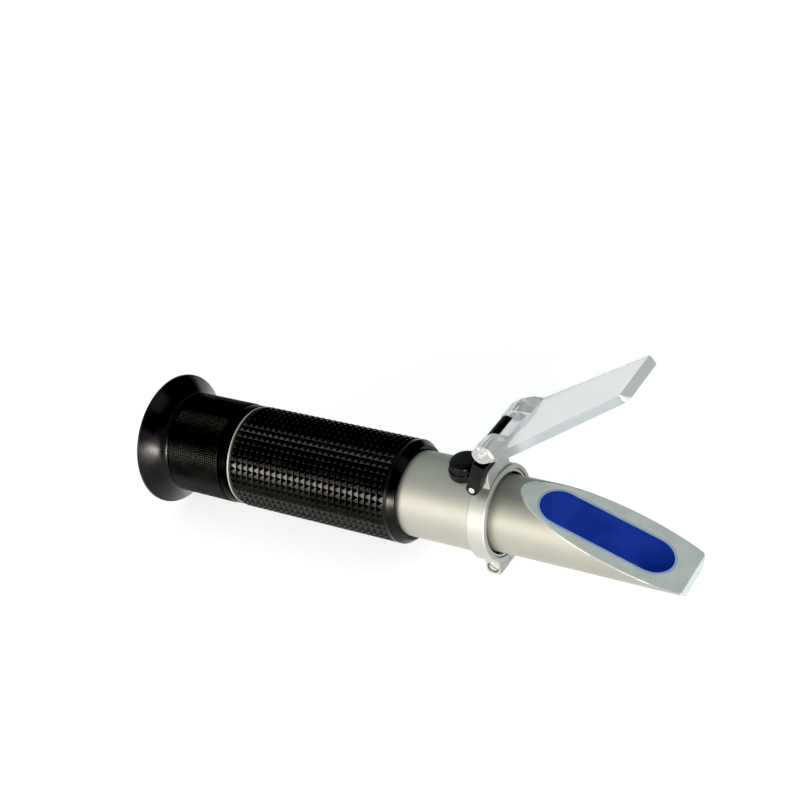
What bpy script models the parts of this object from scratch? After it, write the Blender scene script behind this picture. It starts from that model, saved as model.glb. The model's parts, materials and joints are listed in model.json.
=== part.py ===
"""Handheld refractometer: eyepiece, grip, barrel, prism head and hinged cover.

Frame: metres, +Z up. +X runs along the tube from the eyecup to the prism, the
origin is below the middle of the tube at the height of the eyecup's lowest point.
"""
import math

import bmesh
import bpy
from mathutils import Matrix, Vector

MM = 0.001

# ---- driving dimensions, in metres -------------------------------------------------
LENGTH = 164.8 * MM            # eyecup rim to the head's front edge
EYECUP_R = 19.3 * MM           # flared rim
FOCUS_R = 14.7 * MM            # knurled focus ring
COLLAR_R = 14.5 * MM           # smooth collar behind the grip
SPACER_R = 14.5 * MM           # bare washer between the collar and the grip
GRIP_R = 14.65 * MM            # over the grip's pyramids
BARREL_R = 12.0 * MM           # main tube
HEAD_R = 10.52 * MM            # prism head tube
CLAMP_R = 13.4 * MM            # clamp ring
FACE_ANGLE = math.radians(20.0)     # oblique prism face below the tube's axis
GAP = 0.3 * MM                 # clearance between pieces that touch
WALL = 1.15 * MM               # barrel wall
BARREL_BORE = BARREL_R - WALL

AXIS_Z = EYECUP_R              # height of the tube's axis
RIM_X = -LENGTH / 2            # eyecup rim
TIP_X = LENGTH / 2             # front edge of the head

# stations along the tube, measured forward from the eyecup rim
EYECUP_LENGTH = 8.0 * MM
FOCUS_LENGTH = 17.9 * MM
COLLAR_LENGTH = 3.4 * MM
SPACER_LENGTH = 0.5 * MM
GRIP_LENGTH = 55.2 * MM
FOCUS_X = RIM_X + EYECUP_LENGTH                 # rear face of the focus ring
COLLAR_X = FOCUS_X + FOCUS_LENGTH + GAP         # rear face of the collar
SPACER_X = COLLAR_X + COLLAR_LENGTH             # rear face of the bare washer
GRIP_X = SPACER_X + SPACER_LENGTH + GAP / 2     # rear face of the grip
SHOULDER_X = GRIP_X + GRIP_LENGTH               # grip's front face, where bare barrel starts
BARREL_BARE = 27.1 * MM                         # bare barrel in front of the grip
BARREL_END_X = SHOULDER_X + BARREL_BARE
CLAMP_X = SHOULDER_X + 22.2 * MM                # clamp ring's rear face
CLAMP_LENGTH = 5.2 * MM
HEAD_X = SHOULDER_X + 19.6 * MM                 # rear end of the head tube, inside the barrel
CAP_X = SHOULDER_X + 16.7 * MM                  # calibration screw's axis
OBJECTIVE_X = CAP_X - 2.5 * MM                  # rear face of the objective cell

# prism face: its upper edge on the head tube, and the stadium-shaped prism in it
FACE_X = SHOULDER_X + 33.2 * MM
PRISM_START = 6.0 * MM         # along the face from its upper edge
PRISM_LENGTH = 37.7 * MM
PRISM_HALF = 5.9 * MM
PRISM_SIDE = -0.45 * MM        # the prism sits a little to one side of the face
PRISM_FLOOR = AXIS_Z - 6.8 * MM
SEAL_GAP = 0.15 * MM
SEAL_WIDTH = 0.5 * MM
TIP_HALF = 8.6 * MM            # half-width of the head's square front end
TIP_CORNER = 1.4 * MM
TIP_CHAMFER = 1.3 * MM          # bevel under the front end

# cover: two hinge axes along Y, and the plate between them and the head's tip
LINK_AXIS = Vector((SHOULDER_X + 24.0 * MM, 0.0, AXIS_Z + 14.2 * MM))
COVER_AXIS = Vector((SHOULDER_X + 29.0 * MM, 0.0, AXIS_Z + 26.9 * MM))
COVER_ANGLE = math.radians(33.05)   # open cover above the tube's axis
PIN_R = 0.9 * MM
HINGE_HALF = 10.0 * MM         # half-width of the link
EAR_HALF = 10.6 * MM           # half-width of the cover's ears
KNUCKLE_HALF = 4.9 * MM
LUG_HALF = 5.8 * MM            # half-width of the clamp's hinge lug
LUG_TOP = AXIS_Z + 17.3 * MM
SCREW_AXIS = Vector((SHOULDER_X + 22.9 * MM, 0.0, AXIS_Z - 16.1 * MM))
CLAMP_LUG_LOW = AXIS_Z - 18.4 * MM
CLAMP_LUG_HALF = 5.2 * MM      # half-width of the clamp's screw lug
CLAMP_SCREW_R = 0.95 * MM

# calibration screw, its bush and cap
BUSH_R = 3.0 * MM
BUSH_TOP = AXIS_Z + 13.4 * MM
CAP_R = 4.85 * MM
CAP_TOP = AXIS_Z + 15.7 * MM
CALIBRATION_SCREW_R = 1.2 * MM
OBJECTIVE_CELL_R = 9.2 * MM

# eyepiece inside
SOCKET_R = 12.6 * MM           # sleeve that the focus ring turns on
SOCKET_BORE = 11.2 * MM
CELL_R = 10.9 * MM
LENS_R = 9.0 * MM
GUIDE_TRAVEL = 4.0 * MM        # focusing travel of the lens cell
SOCKET_X = FOCUS_X + 3.6 * MM          # rear end of the sleeve
O_RING_X = SOCKET_X + 1.5 * MM         # rear side of the O-ring's groove
O_RING_GROOVE = 1.6 * MM
CELL_X = FOCUS_X + 3.3 * MM            # rear face of the lens cell
CELL_LENGTH = 15.9 * MM
GUIDE_X = CELL_X + 8.0 * MM            # guide pin
RETICLE_X = SPACER_X + 10.0 * MM       # rear face of the scale disc's holder

FAR = 20 * MM                  # reach of cutting bodies past what they cut
ROUND = 40                     # sides of the outer round pieces
INNER = 24                     # sides of the inner round pieces
SMALL = 16                     # sides of pins and screws


def clear_scene():
    for item in list(bpy.data.objects):
        bpy.data.objects.remove(item, do_unlink=True)


def material(name, colour, roughness, metallic=0.0, alpha=1.0):
    """A Principled material with the piece's own colour and finish."""
    mat = bpy.data.materials.new(name)
    mat.use_nodes = True
    shader = mat.node_tree.nodes["Principled BSDF"]
    shader.inputs["Base Color"].default_value = (*colour, 1.0)
    shader.inputs["Roughness"].default_value = roughness
    shader.inputs["Metallic"].default_value = metallic
    shader.inputs["Alpha"].default_value = alpha
    return mat


def add_object(name, mesh, mat=None, place=None):
    """Link a mesh as an object, shaded smooth with sharp corners kept."""
    piece = bpy.data.objects.new(name, mesh)
    bpy.context.scene.collection.objects.link(piece)
    if mat is not None:
        mesh.materials.append(mat)
    mesh.shade_smooth()
    mesh.set_sharp_from_angle(angle=math.radians(35))
    if place is not None:
        piece.location = place
    return piece


def mesh_from(bm, name):
    bmesh.ops.remove_doubles(bm, verts=bm.verts, dist=1e-6)
    bmesh.ops.recalc_face_normals(bm, faces=bm.faces)
    mesh = bpy.data.meshes.new(name)
    bm.to_mesh(mesh)
    bm.free()
    return mesh


def turned(name, profile, mat=None, sides=ROUND, axis_z=AXIS_Z):
    """Spin a closed (x, radius) outline about the tube's axis, in the tube's own frame."""
    bm = bmesh.new()
    verts = [bm.verts.new((x, 0.0, radius)) for x, radius in profile]
    edges = [bm.edges.new((verts[i], verts[i - 1])) for i in range(len(verts))]
    bmesh.ops.spin(bm, geom=verts + edges, cent=(0, 0, 0), axis=(1, 0, 0),
                   angle=2 * math.pi, steps=sides)
    bmesh.ops.dissolve_degenerate(bm, dist=1e-7, edges=bm.edges)
    return add_object(name, mesh_from(bm, name), mat, (0, 0, axis_z))


def tube_profile(x0, x1, inner, outer, chamfer=0.0):
    """Outline of a plain tube, with its outer corners chamfered."""
    if chamfer == 0.0:
        return [(x0, outer), (x1, outer), (x1, inner), (x0, inner)]
    return [(x0, outer - chamfer), (x0 + chamfer, outer), (x1 - chamfer, outer),
            (x1, outer - chamfer), (x1, inner), (x0, inner)]


def lens_profile(x_mid, radius, edge, bulge, steps=3):
    """Outline of a biconvex lens from pole to pole: edge is its rim thickness."""
    arc_r = (radius ** 2 + bulge ** 2) / (2 * bulge)
    points = []
    for side in (-1, 1):
        arc = []
        for i in range(steps + 1):
            r = radius * i / steps
            depth = bulge - (arc_r - math.sqrt(arc_r ** 2 - r ** 2))
            arc.append((x_mid + side * (edge / 2 + depth), r))
        points += arc if side < 0 else arc[::-1]
    return points


def lens(name, x_mid, radius, edge, bulge, mat):
    """A lens, spun from a half outline whose ends lie on the axis."""
    bm = bmesh.new()
    outline = lens_profile(x_mid, radius, edge, bulge)
    verts = [bm.verts.new((x, 0.0, r)) for x, r in outline]
    edges = [bm.edges.new((verts[i], verts[i + 1])) for i in range(len(verts) - 1)]
    bmesh.ops.spin(bm, geom=verts + edges, cent=(0, 0, 0), axis=(1, 0, 0),
                   angle=2 * math.pi, steps=INNER)
    bmesh.ops.remove_doubles(bm, verts=bm.verts, dist=1e-6)
    bmesh.ops.dissolve_degenerate(bm, dist=1e-7, edges=bm.edges)
    return add_object(name, mesh_from(bm, name), mat, (0, 0, AXIS_Z))


def extruded(name, outline, depth, mat=None, plane="XZ"):
    """A closed 2D outline thickened evenly to both sides of its plane."""
    place = {"XZ": lambda a, b, d: (a, d, b), "XY": lambda a, b, d: (a, b, d),
             "YZ": lambda a, b, d: (d, a, b)}[plane]
    bm = bmesh.new()
    face = bm.faces.new([bm.verts.new(place(a, b, -depth / 2)) for a, b in outline])
    moved = bmesh.ops.extrude_face_region(bm, geom=[face])["geom"]
    shift = Vector(place(0, 0, depth))
    bmesh.ops.translate(bm, vec=shift, verts=[v for v in moved if isinstance(v, bmesh.types.BMVert)])
    return add_object(name, mesh_from(bm, name), mat)


def block(name, low, high, mat=None):
    """A plain box between two corners."""
    bm = bmesh.new()
    bmesh.ops.create_cube(bm, size=1.0)
    size = Vector(high) - Vector(low)
    centre = (Vector(high) + Vector(low)) / 2
    bmesh.ops.scale(bm, vec=size, verts=bm.verts)
    bmesh.ops.translate(bm, vec=centre, verts=bm.verts)
    return add_object(name, mesh_from(bm, name), mat)


def rod(name, centre, axis, radius, length, mat=None, sides=SMALL):
    """A round bar centred on a point, along a named axis."""
    turn = {"X": Matrix.Rotation(math.pi / 2, 4, "Y"), "Y": Matrix.Rotation(math.pi / 2, 4, "X"),
            "Z": Matrix.Identity(4)}[axis]
    bm = bmesh.new()
    bmesh.ops.create_cone(bm, cap_ends=True, segments=sides, radius1=radius, radius2=radius,
                          depth=length, matrix=turn)
    piece = add_object(name, mesh_from(bm, name), mat)
    piece.location = centre
    return piece


def arc(centre, radius, start, end, steps):
    """Points on an arc, angles in degrees, both ends included."""
    angles = [math.radians(start + (end - start) * i / steps) for i in range(steps + 1)]
    return [(centre[0] + radius * math.cos(a), centre[1] + radius * math.sin(a)) for a in angles]


def combine(piece, other, operation):
    """Cut or join one piece with a hidden tool body."""
    other.hide_render = True
    other.display_type = "WIRE"
    change = piece.modifiers.new(operation.lower(), "BOOLEAN")
    change.operation = operation
    change.solver = "EXACT"
    change.object = other


def cut(piece, *tools):
    for tool in tools:
        combine(piece, tool, "DIFFERENCE")


def join(piece, *tools):
    for tool in tools:
        combine(piece, tool, "UNION")


def face_frame():
    """Matrix whose X runs down the prism face, Z is the face's normal, origin on its upper edge."""
    turn = Matrix.Rotation(FACE_ANGLE, 4, "Y")
    return Matrix.Translation((FACE_X, 0, AXIS_Z + HEAD_R)) @ turn


def stadium(grow, steps=10):
    """Outline of the prism, a slot with round ends in the face's plane, grown evenly."""
    half = PRISM_HALF + grow
    left = PRISM_START + PRISM_HALF
    right = PRISM_START + PRISM_LENGTH - PRISM_HALF
    return (arc((right, PRISM_SIDE), half, -90, 90, steps)
            + arc((left, PRISM_SIDE), half, 90, 270, steps))


def stadium_body(name, grow, depth, mat=None):
    """The prism's outline, grown evenly and carried straight down from the face."""
    outline = stadium(grow)
    body = extruded(name, outline, depth, mat, "XY")
    body.matrix_world = face_frame()
    return body


# ---- eyepiece --------------------------------------------------------------------
def build_eyecup(mat):
    """Flared rubber cup whose neck snaps over the focus ring's spigot."""
    neck = FOCUS_X + GAP / 3
    neck_r = SOCKET_R + GAP
    back = FOCUS_X - GAP
    throat_r = SOCKET_R - 1.6 * MM
    shoulder = neck - 3.2 * MM
    throat = shoulder - 1.2 * MM
    flare = [(RIM_X, EYECUP_R - 0.5 * MM), (RIM_X + 0.5 * MM, EYECUP_R), (RIM_X + 1.3 * MM, EYECUP_R),
             (RIM_X + 3.6 * MM, EYECUP_R - 2.0 * MM), (RIM_X + 6.1 * MM, EYECUP_R - 3.5 * MM),
             (back, EYECUP_R - 4.4 * MM)]
    bowl = [(throat, throat_r), (RIM_X + 2.6 * MM, EYECUP_R - 4.0 * MM),
            (RIM_X + 0.6 * MM, EYECUP_R - 1.9 * MM), (RIM_X, EYECUP_R - 1.5 * MM)]
    turned("eyecup", flare + [(back, neck_r), (shoulder, neck_r), (shoulder, throat_r)] + bowl, mat)


def build_focus_ring(mat):
    """Knurled ring: its sleeve turns on the socket, its inner lip drives the lens cell."""
    front = FOCUS_X + FOCUS_LENGTH
    spigot = FOCUS_X - 2.6 * MM
    lip = FOCUS_X + 3.0 * MM
    lip_bore = LENS_R + 1.2 * MM
    bore = SOCKET_R + GAP
    edge = 0.3 * MM
    profile = [(spigot, SOCKET_R), (FOCUS_X, SOCKET_R), (FOCUS_X, FOCUS_R - edge),
               (FOCUS_X + edge, FOCUS_R), (front - edge, FOCUS_R), (front, FOCUS_R - edge),
               (front, bore), (lip, bore), (lip, lip_bore), (spigot, lip_bore)]
    turned("focus_ring", profile, mat)


def build_socket(mat):
    """Sleeve under the focus ring, with the spigot that carries it in the barrel."""
    web = COLLAR_X + 1.5 * MM
    step = SPACER_X - GAP / 2
    spigot_r = BARREL_BORE - GAP
    spigot_bore = LENS_R - 0.5 * MM
    front = SPACER_X + 8.0 * MM
    groove_r = SOCKET_R - 0.8 * MM
    groove_end = O_RING_X + O_RING_GROOVE
    profile = [(SOCKET_X, SOCKET_R), (O_RING_X, SOCKET_R), (O_RING_X, groove_r), (groove_end, groove_r),
               (groove_end, SOCKET_R), (step, SOCKET_R), (step, spigot_r), (front, spigot_r),
               (front, spigot_bore), (web, spigot_bore), (web, SOCKET_BORE), (SOCKET_X, SOCKET_BORE)]
    socket = turned("eyepiece_socket", profile, mat)
    hole = rod("socket_pin_hole", (GUIDE_X, 0, AXIS_Z + SOCKET_BORE), "Z", PIN_R + GAP / 2, 6 * MM)
    cut(socket, hole)


def build_collar(mat):
    """Smooth ring on the sleeve that stops the focus ring."""
    bore = SOCKET_R + GAP
    front = SPACER_X - GAP / 2
    profile = [(COLLAR_X, COLLAR_R - 0.25 * MM), (COLLAR_X + 0.25 * MM, COLLAR_R),
               (front - 0.4 * MM, COLLAR_R), (front, COLLAR_R - 0.4 * MM), (front, bore), (COLLAR_X, bore)]
    turned("stop_collar", profile, mat)


def build_o_ring(mat):
    middle = O_RING_X + O_RING_GROOVE / 2
    profile = arc((middle, SOCKET_R - 0.15 * MM), 0.35 * MM, 0, 315, 7)
    turned("focus_o_ring", profile, mat, INNER)


def build_spacer(mat):
    turned("spacer_ring", tube_profile(SPACER_X, SPACER_X + SPACER_LENGTH, BARREL_BORE, SPACER_R), mat)


def build_lens_cell(mat):
    front = CELL_X + CELL_LENGTH
    bore = LENS_R + GAP
    lip = front - 1.2 * MM
    profile = [(CELL_X, CELL_R), (front, CELL_R), (front, LENS_R - 1.0 * MM), (lip, LENS_R - 1.0 * MM),
               (lip, bore), (CELL_X, bore)]
    cell = turned("lens_cell", profile, mat, INNER)
    groove_half = PIN_R + GAP
    groove = block("guide_groove",
                   (GUIDE_X - groove_half, -groove_half, AXIS_Z + CELL_R - 0.9 * MM),
                   (GUIDE_X + GUIDE_TRAVEL + groove_half, groove_half, AXIS_Z + CELL_R + 1 * MM))
    cut(cell, groove)


def build_guide_pin(mat):
    low = CELL_R - 0.4 * MM
    high = SOCKET_R - 0.1 * MM
    rod("focus_guide_pin", (GUIDE_X, 0, AXIS_Z + (low + high) / 2), "Z", PIN_R, high - low, mat)


def build_eyepiece_optics(glass, black):
    """Eye lens, field lens and the rings that hold them in the cell, rear to front."""
    retainer_end = CELL_X + 0.9 * MM
    turned("lens_retainer", tube_profile(CELL_X, retainer_end, LENS_R - 1.3 * MM, LENS_R), black, INNER)
    eye_mid = retainer_end + GAP + 1.8 * MM
    lens("eye_lens", eye_mid, LENS_R, 1.2 * MM, 1.0 * MM, glass)
    spacer_start = eye_mid + 1.8 * MM
    field_mid = CELL_X + CELL_LENGTH - 1.2 * MM - GAP - 1.4 * MM
    spacer_end = field_mid - 1.4 * MM
    turned("lens_spacer", tube_profile(spacer_start, spacer_end, LENS_R - 1.0 * MM, LENS_R), black, INNER)
    lens("field_lens", field_mid, LENS_R, 1.2 * MM, 0.7 * MM, glass)


# ---- tube and what is in it ---------------------------------------------------------
def build_grip(mat):
    front = SHOULDER_X
    profile = [(GRIP_X, GRIP_R - 0.5 * MM), (GRIP_X + 0.5 * MM, GRIP_R), (front - 2.4 * MM, GRIP_R),
               (front - 0.9 * MM, GRIP_R - 0.55 * MM), (front, GRIP_R - 1.35 * MM),
               (front, BARREL_R + GAP), (GRIP_X, BARREL_R + GAP)]
    turned("grip_sleeve", profile, mat)


def build_barrel(mat):
    rear = GRIP_X + GAP / 2
    step = BARREL_END_X - 3.4 * MM
    mouth = HEAD_R + 0.75 * MM
    edge = 0.2 * MM
    profile = [(rear, BARREL_R), (BARREL_END_X - edge, BARREL_R), (BARREL_END_X, BARREL_R - edge),
               (BARREL_END_X, mouth), (step, mouth), (step, BARREL_BORE), (rear, BARREL_BORE)]
    barrel = turned("barrel_tube", profile, mat)
    hole = rod("bush_hole", (CAP_X, 0, AXIS_Z + BARREL_R), "Z", BUSH_R + GAP / 2, 8 * MM)
    cut(barrel, hole)


def build_reticle(glass, black):
    """Scale disc and its mount, in front of the eyepiece socket."""
    step = RETICLE_X + 2.0 * MM
    end = RETICLE_X + 5.0 * MM
    outer = BARREL_BORE - GAP
    disc_r = 9.0 * MM
    disc_thickness = 1.5 * MM
    window = 7.8 * MM
    profile = [(RETICLE_X, outer), (end, outer), (end, disc_r + GAP), (step, disc_r + GAP),
               (step, window), (RETICLE_X, window)]
    turned("reticle_holder", profile, black, INNER)
    rod("reticle", (step + GAP + disc_thickness / 2, 0, AXIS_Z), "X", disc_r, disc_thickness, glass, INNER)


def build_baffle(mat):
    """Cup with a hole in its floor that stops stray light."""
    start = SHOULDER_X - 20 * MM
    end = start + 4 * MM
    outer = BARREL_BORE - GAP
    thickness = 1 * MM
    hole = 6 * MM
    profile = [(start, outer), (end, outer), (end, outer - thickness),
               (start + thickness, outer - thickness), (start + thickness, hole), (start, hole)]
    turned("light_baffle", profile, mat, INNER)


def build_objective(glass, black, steel):
    """The floating objective, pressed up against the calibration screw by a leaf spring."""
    end = OBJECTIVE_X + 4.6 * MM
    lip = end - 1.0 * MM
    lens_r = 6.5 * MM
    lens_half = 1.4 * MM
    bore = lens_r + GAP
    lip_bore = lens_r - 0.7 * MM
    profile = [(OBJECTIVE_X, OBJECTIVE_CELL_R), (end, OBJECTIVE_CELL_R), (end, lip_bore), (lip, lip_bore),
               (lip, bore), (OBJECTIVE_X, bore)]
    turned("objective_cell", profile, black, INNER)
    lens("objective_lens", lip - GAP - lens_half, lens_r, 1.2 * MM, 0.8 * MM, glass)
    inner = OBJECTIVE_CELL_R + 0.55 * MM
    outer = inner + 0.35 * MM
    leaf = arc((0, AXIS_Z), outer, 232, 308, 12) + arc((0, AXIS_Z), inner, 308, 232, 12)
    spring = extruded("objective_spring", leaf, 3.0 * MM, steel, "YZ")
    spring.location = ((OBJECTIVE_X + end) / 2, 0, 0)


def turned_up(name, profile, mat=None, sides=INNER):
    """Spin a closed (radius, z) outline about the calibration screw's upright axis."""
    bm = bmesh.new()
    verts = [bm.verts.new((radius, 0.0, z)) for radius, z in profile]
    edges = [bm.edges.new((verts[i], verts[i - 1])) for i in range(len(verts))]
    bmesh.ops.spin(bm, geom=verts + edges, cent=(0, 0, 0), axis=(0, 0, 1),
                   angle=2 * math.pi, steps=sides)
    bmesh.ops.remove_doubles(bm, verts=bm.verts, dist=1e-6)
    bmesh.ops.dissolve_degenerate(bm, dist=1e-7, edges=bm.edges)
    return add_object(name, mesh_from(bm, name), mat, (CAP_X, 0, 0))


def build_calibration(rubber, metal, steel):
    """Bush in the barrel wall, its slotted screw and the rubber cap over both."""
    bush_bore = CALIBRATION_SCREW_R + GAP / 2
    foot = AXIS_Z + BARREL_BORE
    turned_up("calibration_bush", [(bush_bore, foot), (BUSH_R, foot), (BUSH_R, BUSH_TOP),
                                   (bush_bore, BUSH_TOP)], metal, SMALL)
    screw_low = AXIS_Z + OBJECTIVE_CELL_R + GAP + 0.1 * MM
    screw_top = BUSH_TOP - 0.2 * MM
    screw = rod("calibration_screw", (CAP_X, 0, (screw_low + screw_top) / 2), "Z", CALIBRATION_SCREW_R,
                screw_top - screw_low, steel)
    slot_half = 0.25 * MM
    slot_depth = 0.6 * MM
    slot = block("calibration_slot", (CAP_X - 2 * MM, -slot_half, screw_top - slot_depth),
                 (CAP_X + 2 * MM, slot_half, screw_top + 1 * MM))
    cut(screw, slot)
    rim = 1.1 * MM
    low = AXIS_Z + 9.0 * MM
    inside = BUSH_R + GAP
    dome = arc((CAP_R - rim, CAP_TOP - rim), rim, 0, 90, 4)
    cap = turned_up("calibration_cap", [(CAP_R, low)] + dome + [(0, CAP_TOP), (0, BUSH_TOP + GAP),
                                                               (inside, BUSH_TOP + GAP), (inside, low)],
                    rubber)
    saddle = rod("cap_saddle", (CAP_X, 0, AXIS_Z), "X", BARREL_R + GAP, 20 * MM, sides=ROUND)
    cut(cap, saddle)


# ---- prism head -------------------------------------------------------------------
def build_head(metal, glass, seal_mat):
    """Head tube cut at the face angle, with the prism in its pocket and the seal round it."""
    light_bore = 7.4 * MM
    head = turned("prism_head", tube_profile(HEAD_X, TIP_X, light_bore, HEAD_R), metal)
    core_r = HEAD_R - 0.05 * MM
    core_start = FACE_X - 5.0 * MM
    core_end = TIP_X - 0.05 * MM
    core = rod("head_core", ((core_start + core_end) / 2, 0, AXIS_Z), "X", core_r, core_end - core_start,
               sides=ROUND)
    join(head, core)
    waste = block("head_waste", (-FAR, -FAR, 0), (4 * FAR, FAR, 2 * FAR))
    waste.matrix_world = face_frame()
    corner_x = TIP_X - TIP_CORNER
    corner_y = TIP_HALF - TIP_CORNER
    end_outline = (arc((corner_x, corner_y), TIP_CORNER, 0, 90, 4)
                   + [(corner_x, FAR), (TIP_X + FAR, FAR), (TIP_X + FAR, -FAR), (corner_x, -FAR)]
                   + arc((corner_x, -corner_y), TIP_CORNER, -90, 0, 4))
    end = extruded("head_end", end_outline, 4 * FAR, None, "XY")
    low = AXIS_Z - HEAD_R
    bevel_outline = [(TIP_X - TIP_CHAMFER - FAR, low - FAR), (TIP_X + FAR, low - FAR),
                     (TIP_X + FAR, low + TIP_CHAMFER + FAR)]
    bevel = extruded("head_bevel", bevel_outline, 4 * FAR, None, "XZ")
    pocket = stadium_body("head_pocket", 2 * SEAL_GAP + SEAL_WIDTH, 4 * FAR)
    pocket_limit = block("pocket_limit", (HEAD_X, -FAR, PRISM_FLOOR - GAP), (TIP_X + FAR, FAR, 4 * FAR))
    combine(pocket, pocket_limit, "INTERSECT")
    cut(head, waste, end, bevel, pocket)

    prism = stadium_body("main_prism", 0.0, 4 * FAR, glass)
    prism_limit = block("prism_limit", (FACE_X - 2 * MM, -FAR, PRISM_FLOOR), (TIP_X + FAR, FAR, 4 * FAR))
    combine(prism, prism_limit, "INTERSECT")
    prism_waste = block("prism_waste", (-FAR, -FAR, 0), (4 * FAR, FAR, 3 * FAR))
    prism_waste.matrix_world = face_frame()
    cut(prism, prism_waste)

    seal_depth = 1.0 * MM
    seal = stadium_body("prism_seal", SEAL_GAP + SEAL_WIDTH, seal_depth, seal_mat)
    seal.matrix_world = face_frame() @ Matrix.Translation((0, 0, -0.05 * MM - seal_depth / 2))
    seal_hole = stadium_body("seal_hole", SEAL_GAP, 4 * MM)
    cut(seal, seal_hole)


# ---- clamp and cover ----------------------------------------------------------------
def build_clamp(metal, steel):
    """Split ring with the cover's hinge lug above and the screw lug below."""
    end = CLAMP_X + CLAMP_LENGTH
    inner = BARREL_R + GAP
    rough = inner - 0.5 * MM
    edge = 0.2 * MM
    chamfer = 0.45 * MM
    profile = [(CLAMP_X, CLAMP_R - edge), (CLAMP_X + edge, CLAMP_R), (end - chamfer, CLAMP_R),
               (end, CLAMP_R - chamfer), (end, rough), (CLAMP_X, rough)]
    ring = turned("clamp_ring", profile, metal)
    corner = 2.6 * MM
    foot = AXIS_Z + inner - 1.0 * MM
    lug_outline = ([(LUG_HALF, foot)] + arc((LUG_HALF - corner, LUG_TOP - corner), corner, 0, 90, 5)
                   + arc((corner - LUG_HALF, LUG_TOP - corner), corner, 90, 180, 5) + [(-LUG_HALF, foot)])
    lug_length = 4.7 * MM
    lug_front = LINK_AXIS.x + 2.7 * MM
    lug = extruded("hinge_lug", lug_outline, lug_length, None, "YZ")
    lug.location = (lug_front - lug_length / 2, 0, 0)
    foot_half = 2.2 * MM
    rear = SCREW_AXIS.x - foot_half
    front = SCREW_AXIS.x + foot_half
    high = AXIS_Z - inner + 1.0 * MM
    round_r = 1.0 * MM
    foot_outline = ([(rear, high)]
                    + arc((rear + round_r, CLAMP_LUG_LOW + round_r), round_r, 180, 270, 4)
                    + arc((front - round_r / 2, CLAMP_LUG_LOW + round_r / 2), round_r / 2, 270, 360, 3)
                    + [(front, high)])
    foot_lug = extruded("screw_lug", foot_outline, 2 * CLAMP_LUG_HALF, None, "XZ")
    join(ring, lug, foot_lug)
    bore = rod("clamp_bore", (CLAMP_X, 0, AXIS_Z), "X", inner, 2 * FAR, sides=ROUND)
    split = block("clamp_split", (CLAMP_X - 5 * MM, 0.2 * MM, AXIS_Z - 30 * MM),
                  (end + 5 * MM, 0.9 * MM, AXIS_Z - 8 * MM))
    screw_hole = rod("screw_hole", SCREW_AXIS, "Y", CLAMP_SCREW_R + GAP / 2, 2 * FAR)
    sink_r = 1.75 * MM
    sink_depth = 1.5 * MM
    sink = rod("screw_sink", SCREW_AXIS + Vector((0, -CLAMP_LUG_HALF, 0)), "Y", sink_r, 2 * sink_depth)
    pin_hole = rod("lug_pin_hole", LINK_AXIS, "Y", PIN_R + GAP / 2, 2 * FAR)
    cut(ring, bore, split, screw_hole, sink, pin_hole)
    build_clamp_screw(steel)


def build_clamp_screw(steel):
    """Slotted screw across the split, its head sunk in one side of the lug."""
    half = CLAMP_LUG_HALF - GAP
    head_r = 1.5 * MM
    head_thick = 1.0 * MM
    screw = rod("clamp_screw", SCREW_AXIS, "Y", CLAMP_SCREW_R, 2 * half, steel)
    head_place = SCREW_AXIS + Vector((0, head_thick / 2 - half, 0))
    head = rod("clamp_screw_head", head_place, "Y", head_r, head_thick)
    join(screw, head)
    slot_half = 0.22 * MM
    slot_depth = 0.45 * MM
    slot = block("clamp_screw_slot", (-2.2 * MM, -1.0 * MM, -slot_half), (2.2 * MM, slot_depth, slot_half))
    slot.location = SCREW_AXIS - Vector((0, half, 0))
    slot.rotation_euler = (0, math.radians(35), 0)
    cut(screw, slot)


def build_link(plastic):
    """Forked link: two arms on the clamp's lug, a web, and a knuckle between the cover's ears."""
    reach = (COVER_AXIS - LINK_AXIS).length
    lean = math.atan2(COVER_AXIS.x - LINK_AXIS.x, COVER_AXIS.z - LINK_AXIS.z)
    half = 1.75 * MM
    knuckle_r = 2.1 * MM
    outline = (arc((0, 0), half, 180, 360, 8) + [(half, reach - 1.2 * MM)]
               + arc((0, reach), knuckle_r, -15, 195, 12) + [(-half, reach - 1.2 * MM)])
    link = extruded("cover_link", outline, 2 * HINGE_HALF, plastic, "XZ")
    link.matrix_world = Matrix.Translation(LINK_AXIS) @ Matrix.Rotation(lean, 4, "Y")
    web_start = 4.7 * MM
    arm_end = 9.2 * MM
    fork_half = LUG_HALF + 0.4 * MM
    tools = [block("link_fork", (-FAR, -fork_half, -FAR), (FAR, fork_half, web_start)),
             block("link_ear_room_a", (-FAR, KNUCKLE_HALF, arm_end), (FAR, FAR, 2 * FAR)),
             block("link_ear_room_b", (-FAR, -FAR, arm_end), (FAR, -KNUCKLE_HALF, 2 * FAR)),
             rod("link_pin_hole", (0, 0, 0), "Y", PIN_R + GAP / 2, 4 * FAR),
             rod("cover_pin_hole", (0, 0, 0), "Y", PIN_R + GAP / 2, 4 * FAR)]
    for tool in tools:
        tool.matrix_world = link.matrix_world @ tool.matrix_world
    tools[-1].location = COVER_AXIS
    cut(link, *tools)


def build_pins(steel):
    rod("link_pin", LINK_AXIS, "Y", PIN_R, 2 * (HINGE_HALF + 0.15 * MM), steel)
    rod("cover_pin", COVER_AXIS, "Y", PIN_R, 2 * (EAR_HALF + 0.15 * MM), steel)


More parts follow.
